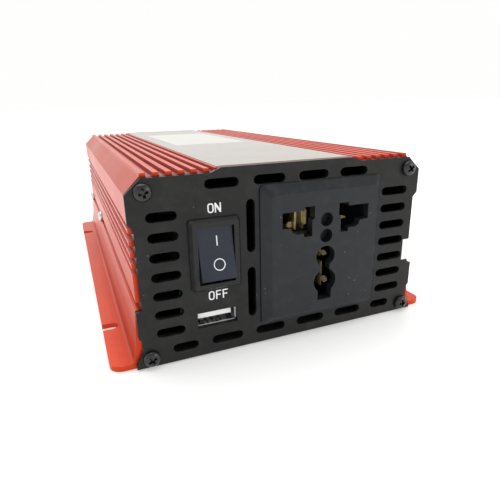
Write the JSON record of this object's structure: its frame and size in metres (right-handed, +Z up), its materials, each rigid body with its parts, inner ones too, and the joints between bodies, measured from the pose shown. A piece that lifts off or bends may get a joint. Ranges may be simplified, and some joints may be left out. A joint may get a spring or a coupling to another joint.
{
  "type": "power inverter",
  "caption": "Flat power inverter in a ribbed flanged metal case, with a rocker switch, charging port and universal mains socket at one end, a fan and screw terminals at the other.",
  "frame": {"origin": "on the underside, below the centre of the whole part's box", "axes": "+Y from the socket end to the terminal end, +X to the right seen from the socket end, +Z up out of the roof"},
  "size_m": [0.1192, 0.2192, 0.0595],
  "materials": {
    "red_anodised": "bright red anodised extrusion, fine brushed, satin",
    "black_panel": "satin black sheet",
    "black_screws": "black oxide",
    "bright_screws": "bright zinc",
    "switch_black": "satin moulded",
    "brass_tabs": "plain brass",
    "bright_steel": "bright plated sheet",
    "white_plastic": "white insulator",
    "circuit_board": "green solder mask",
    "socket_grey": "satin dark blue-grey",
    "label_film": "silver grey film",
    "seal_paper": "white paper",
    "fan_black": "satin black",
    "terminal_red": "red moulding",
    "terminal_black": "black moulding",
    "insulation_film": "matt black film",
    "heat_bar": "mill finish",
    "semiconductor": "moulded epoxy",
    "ferrite": "dark ferrite",
    "copper_winding": "enamelled wire",
    "capacitor_sleeve": "shrink sleeve",
    "fuse_body": "tinted body"
  },
  "bodies": {
    "case": {"housing_extrusion": "red_anodised", "front_panel": "black_panel", "rear_panel": "black_panel", "front_screw_1": "black_screws", "front_screw_2": "black_screws", "front_screw_3": "black_screws", "front_screw_4": "black_screws", "rear_screw_1": "black_screws", "rear_screw_2": "black_screws", "rear_screw_3": "black_screws", "rear_screw_4": "black_screws", "side_screw_1": "bright_screws", "side_screw_2": "bright_screws", "side_screw_3": "bright_screws", "side_screw_4": "bright_screws", "fan_screw_1": "bright_screws", "fan_screw_2": "bright_screws", "fan_screw_3": "bright_screws", "fan_screw_4": "bright_screws", "fan_guard": "bright_screws", "switch_housing": "switch_black", "switch_terminal_1": "brass_tabs", "switch_terminal_2": "brass_tabs", "contact_line": "brass_tabs", "contact_neutral": "brass_tabs", "contact_earth": "brass_tabs", "terminal_stud_red": "brass_tabs", "terminal_stud_black": "brass_tabs", "usb_shell": "bright_steel", "usb_tongue": "white_plastic", "usb_board": "circuit_board", "main_board": "circuit_board", "socket_faceplate": "socket_grey", "socket_body": "socket_grey", "top_label": "label_film", "seal_label": "seal_paper", "fan_frame": "fan_black", "terminal_base_red": "terminal_red", "terminal_base_black": "terminal_black", "insulation_sheet": "insulation_film", "heat_bar_left": "heat_bar", "heat_bar_right": "heat_bar", "transistor_1": "semiconductor", "transistor_2": "semiconductor", "transistor_3": "semiconductor", "transistor_4": "semiconductor", "transformer_core": "ferrite", "transformer_winding": "copper_winding", "choke": "copper_winding", "input_capacitor_1": "capacitor_sleeve", "input_capacitor_2": "capacitor_sleeve", "output_capacitor": "capacitor_sleeve", "fuse_1": "fuse_body", "fuse_2": "fuse_body"},
    "rocker": {"switch_rocker": "switch_black"},
    "impeller": {"fan_rotor": "fan_black"},
    "clamp_red": {"terminal_washer_red": "bright_steel"},
    "knob_red": {"terminal_knob_red": "terminal_red"},
    "clamp_black": {"terminal_washer_black": "bright_steel"},
    "knob_black": {"terminal_knob_black": "terminal_black"}
  },
  "joints": [
    {"name": "rocker_tilt", "type": "hinge", "parent": "case", "child": "rocker", "pos_m": [-0.0255, -0.1046, 0.0339], "axis": [1, 0, 0], "range_deg": [0, 24]},
    {"name": "fan_spin", "type": "hinge", "parent": "case", "child": "impeller", "pos_m": [-0.017, 0.0794, 0.0295], "axis": [0, 1, 0], "continuous": true},
    {"name": "clamp_red_travel", "type": "slide", "parent": "case", "child": "clamp_red", "axis": [0, 1, 0], "range_m": [0, 0.004]},
    {"name": "knob_red_turn", "type": "hinge", "parent": "clamp_red", "child": "knob_red", "pos_m": [0.028, 0.0994, 0.043], "axis": [0, 1, 0], "range_deg": [0, 1441]},
    {"name": "clamp_black_travel", "type": "slide", "parent": "case", "child": "clamp_black", "axis": [0, 1, 0], "range_m": [0, 0.004]},
    {"name": "knob_black_turn", "type": "hinge", "parent": "clamp_black", "child": "knob_black", "pos_m": [0.028, 0.0994, 0.0165], "axis": [0, 1, 0], "range_deg": [0, 1441]}
  ],
  "couplings": [
    {"joint": "knob_red_turn", "follows": "clamp_red_travel", "rad_per_m": 6283.2},
    {"joint": "knob_black_turn", "follows": "clamp_black_travel", "rad_per_m": 6283.2}
  ]
}
